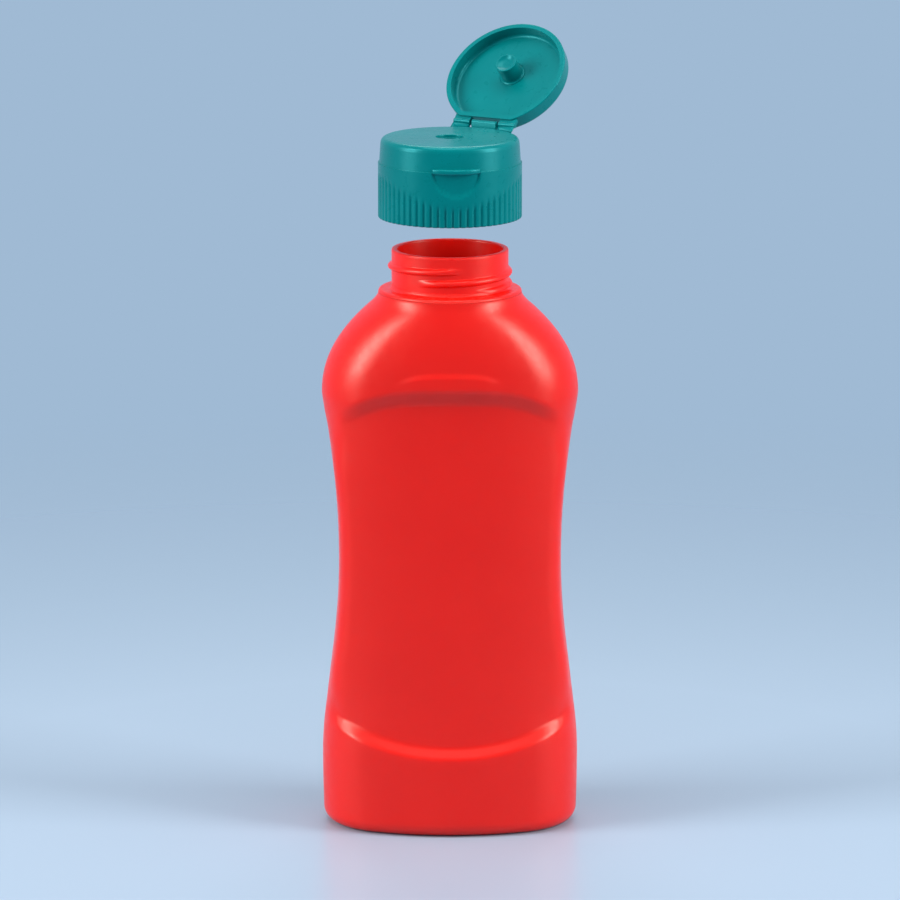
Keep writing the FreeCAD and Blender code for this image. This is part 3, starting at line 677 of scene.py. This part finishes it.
def plug_sleeve(material):
    """Dished end and flared foot of the lid's plug."""
    turn = np.linspace(0, 2 * math.pi, PLUG_STEPS, endpoint=False)
    directions = np.column_stack((np.sin(turn), -np.cos(turn)))
    dish = PLUG_RADIUS - PLUG_RIM
    dish_z = PLUG_TIP + PLUG_DISH
    flare = PLUG_RADIUS + PLUG_FLARE
    foot = LID_FLOOR + PLUG_SINK
    profile = rounded([
        (AXIS_HOLE, dish_z, 0), (dish * PLUG_DISH_SHARE, dish_z, PLUG_DISH_ROUND), (dish, PLUG_TIP, CRISP),
        (PLUG_RADIUS, PLUG_TIP, PLUG_OUTER_ROUND), (PLUG_RADIUS, LID_FLOOR, PLUG_FLARE),
        (flare, LID_FLOOR, PLUG_FLARE_ROUND), (flare, foot, PLUG_FLARE_ROUND), (AXIS_HOLE, foot, 0),
    ])
    grid = np.array(turned_rows(profile, directions))
    points = hinge_turned(opened(grid.reshape(-1, 3)))
    piece = piece_from("plug_sleeve", points, grid_faces(*grid.shape[:2], False), material)
    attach(piece, "lid")


# ---- material helpers -------------------------------------------------------------------------------
def to_linear(red, green, blue):
    """Linear colour from the usual 0 to 255 values."""
    def channel(value):
        value = value / 255
        return value / 12.92 if value <= 0.04045 else ((value + 0.055) / 1.055) ** 2.4
    return (channel(red), channel(green), channel(blue), 1.0)


class Nodes:
    """Short way to build a material's node tree."""

    def __init__(self, name):
        self.material = bpy.data.materials.new(name)
        self.material.use_nodes = True
        self.tree = self.material.node_tree
        self.shader = self.tree.nodes["Principled BSDF"]
        self.output = self.tree.nodes["Material Output"]

    def add(self, kind, **settings):
        node = self.tree.nodes.new(kind)
        for key, value in settings.items():
            if key in node.inputs:
                node.inputs[key].default_value = value
            else:
                setattr(node, key, value)
        return node

    def link(self, source, target):
        self.tree.links.new(source, target)

    def noise(self, scale, detail=2.0, roughness=0.5):
        node = self.add("ShaderNodeTexNoise")
        node.inputs["Scale"].default_value = scale
        node.inputs["Detail"].default_value = detail
        node.inputs["Roughness"].default_value = roughness
        self.link(self.place(), node.inputs["Vector"])
        return node.outputs["Fac"]

    def place(self):
        if not hasattr(self, "coordinates"):
            self.coordinates = self.add("ShaderNodeTexCoord")
        return self.coordinates.outputs["Object"]

    def span(self, source, low, high, to_low, to_high):
        node = self.add("ShaderNodeMapRange")
        for key, value in (("From Min", low), ("From Max", high), ("To Min", to_low), ("To Max", to_high)):
            node.inputs[key].default_value = value
        self.link(source, node.inputs["Value"])
        return node.outputs["Result"]

    def blend(self, factor, first, second):
        node = self.add("ShaderNodeMix", data_type="RGBA")
        node.inputs[6].default_value = first
        node.inputs[7].default_value = second
        self.link(factor, node.inputs["Factor"])
        return node.outputs[2]

    def bump(self, height, strength, distance, normal=None):
        node = self.add("ShaderNodeBump")
        node.inputs["Strength"].default_value = strength
        node.inputs["Distance"].default_value = distance
        self.link(height, node.inputs["Height"])
        if normal is not None:
            self.link(normal, node.inputs["Normal"])
        return node.outputs["Normal"]


# ---- materials --------------------------------------------------------------------------------------
MOTTLE_SCALE = 38           # noise scales, per metre
SHEEN_SCALE = 420
WAVE_SCALE = 55
GRAIN_SCALE = 1800
WAVE_STRENGTH = 0.25
GRAIN_STRENGTH = 0.35
SMOOTHER, ROUGHER = 0.04, 0.05      # spread of the roughness round its mean
GLOW_DEPTH = 0.004          # metres that light runs under the surface


def moulded_plastic(name, base, deep, roughness, grain, wave, shine, tint, glow=0.0, spread=(1.0, 1.0, 1.0)):
    """Satin plastic: faint mottling, fine grain and slow waves in the surface."""
    nodes = Nodes(name)
    shader = nodes.shader
    mottle = nodes.span(nodes.noise(MOTTLE_SCALE, 3), 0.35, 0.65, 0.0, 1.0)
    nodes.link(nodes.blend(mottle, base, deep), shader.inputs["Base Color"])
    fine = nodes.noise(SHEEN_SCALE, 3)
    sheen = nodes.span(fine, 0.3, 0.7, roughness - SMOOTHER, roughness + ROUGHER)
    nodes.link(sheen, shader.inputs["Roughness"])
    slow = nodes.bump(nodes.noise(WAVE_SCALE, 1), WAVE_STRENGTH, wave)
    rough = nodes.bump(nodes.noise(GRAIN_SCALE, 2), GRAIN_STRENGTH, grain, slow)
    nodes.link(rough, shader.inputs["Normal"])
    shader.inputs["IOR"].default_value = 1.5
    shader.inputs["Specular IOR Level"].default_value = shine
    shader.inputs["Specular Tint"].default_value = tint
    shader.inputs["Subsurface Weight"].default_value = glow
    shader.inputs["Subsurface Radius"].default_value = spread
    shader.inputs["Subsurface Scale"].default_value = GLOW_DEPTH
    return nodes.material


def dress(node, material):
    """Give a solid of the frame, which keeps its own mesh, its material."""
    mesh = frame["nodes"][node].data
    mesh.materials.clear()
    mesh.materials.append(material)


RED = moulded_plastic(
    "bottle_red", to_linear(245, 20, 8), to_linear(240, 17, 6), roughness=0.34, grain=0.00004, wave=0.0001,
    shine=0.5, tint=(1.0, 0.8, 0.72, 1.0), glow=0.6, spread=(1.0, 0.06, 0.04))
TEAL = moulded_plastic(
    "cap_teal", to_linear(0, 118, 122), to_linear(0, 111, 115), roughness=0.30, grain=0.00001, wave=0.00005,
    shine=0.42, tint=(0.12, 0.9, 1.0, 1.0))
bottle_shell(RED)
cap_shell(TEAL)
hinge_film(TEAL)
plug_sleeve(TEAL)
dress("lid", TEAL)


# ---- stage ------------------------------------------------------------------------------------------
FLOOR_RADIUS = 0.62
FLOOR_FADE = 0.44           # width over which its edge fades out
FLOOR_ROUGHNESS = 0.3
FLOOR_SHINE = 0.14
WORLD_STRENGTH = 0.20
LAMP_COLOUR = (1.0, 0.965, 0.91)
BACKGROUND = to_linear(160, 186, 212)


def floor():
    """Pale round floor whose edge fades out."""
    mesh = bpy.data.meshes.new("floor")
    shape = bmesh.new()
    bmesh.ops.create_circle(shape, cap_ends=True, radius=FLOOR_RADIUS, segments=96)
    shape.to_mesh(mesh)
    shape.free()
    piece = bpy.data.objects.new("floor", mesh)
    bpy.context.collection.objects.link(piece)
    nodes = Nodes("floor")
    nodes.shader.inputs["Base Color"].default_value = to_linear(160, 181, 204)
    nodes.shader.inputs["Roughness"].default_value = FLOOR_ROUGHNESS
    nodes.shader.inputs["Specular IOR Level"].default_value = FLOOR_SHINE
    length = nodes.add("ShaderNodeVectorMath", operation="LENGTH")
    nodes.link(nodes.place(), length.inputs[0])
    fade = nodes.span(length.outputs["Value"], FLOOR_RADIUS - FLOOR_FADE, FLOOR_RADIUS, 0.0, 1.0)
    clear = nodes.add("ShaderNodeBsdfTransparent")
    mixed = nodes.add("ShaderNodeMixShader")
    nodes.link(fade, mixed.inputs["Fac"])
    nodes.link(nodes.shader.outputs["BSDF"], mixed.inputs[1])
    nodes.link(clear.outputs["BSDF"], mixed.inputs[2])
    nodes.link(mixed.outputs["Shader"], nodes.output.inputs["Surface"])
    mesh.materials.append(nodes.material)


def world():
    """Soft light all round, with a plain background for the rays that see it."""
    scene_world = bpy.data.worlds.new("studio")
    bpy.context.scene.world = scene_world
    scene_world.use_nodes = True
    tree = scene_world.node_tree
    tree.nodes.clear()
    light = tree.nodes.new("ShaderNodeBackground")
    light.inputs["Color"].default_value = to_linear(205, 218, 232)
    light.inputs["Strength"].default_value = WORLD_STRENGTH
    shown = tree.nodes.new("ShaderNodeBackground")
    shown.inputs["Color"].default_value = BACKGROUND
    rays = tree.nodes.new("ShaderNodeLightPath")
    mixed = tree.nodes.new("ShaderNodeMixShader")
    output = tree.nodes.new("ShaderNodeOutputWorld")
    shows = rays.outputs["Is Camera Ray"]
    for kind in ("Is Glossy Ray", "Is Transmission Ray"):
        either = tree.nodes.new("ShaderNodeMath")
        either.operation = "MAXIMUM"
        tree.links.new(shows, either.inputs[0])
        tree.links.new(rays.outputs[kind], either.inputs[1])
        shows = either.outputs["Value"]
    tree.links.new(shows, mixed.inputs["Fac"])
    tree.links.new(light.outputs["Background"], mixed.inputs[1])
    tree.links.new(shown.outputs["Background"], mixed.inputs[2])
    tree.links.new(mixed.outputs["Shader"], output.inputs["Surface"])


def softbox(name, place, aim, width, height, watts):
    """Area lamp turned towards a point."""
    data = bpy.data.lights.new(name, "AREA")
    data.shape = "RECTANGLE"
    data.color = LAMP_COLOUR
    data.size = width
    data.size_y = height
    data.energy = watts
    lamp = bpy.data.objects.new(name, data)
    lamp.location = place
    lamp.rotation_euler = (Vector(aim) - Vector(place)).to_track_quat("-Z", "Y").to_euler()
    bpy.context.collection.objects.link(lamp)


MIDDLE = (0, 0, 0.11)
floor()
world()
softbox("left", (-0.95, -0.35, 0.52), MIDDLE, 0.46, 0.7, 12.5)
softbox("right", (0.95, -0.35, 0.52), MIDDLE, 0.46, 0.7, 12.5)
softbox("top", (0, -0.15, 1.05), MIDDLE, 0.8, 0.6, 6.0)
softbox("back", (0, 0.75, 1.1), MIDDLE, 0.7, 0.5, 4.0)

# ---- camera -----------------------------------------------------------------------------------------
CAMERA_BACK = 1.950
CAMERA_HEIGHT = 0.5198
CAMERA_DOWN = 11.748        # degrees below level
CAMERA_LENS = 264.7

lens = bpy.data.cameras.new("camera")
lens.lens = CAMERA_LENS
lens.sensor_width = 36
camera = bpy.data.objects.new("camera", lens)
camera.location = (0, -CAMERA_BACK, CAMERA_HEIGHT)
camera.rotation_euler = (math.radians(90 - CAMERA_DOWN), 0, 0)
bpy.context.collection.objects.link(camera)
bpy.context.scene.camera = camera
bpy.context.scene.view_settings.view_transform = "Standard"
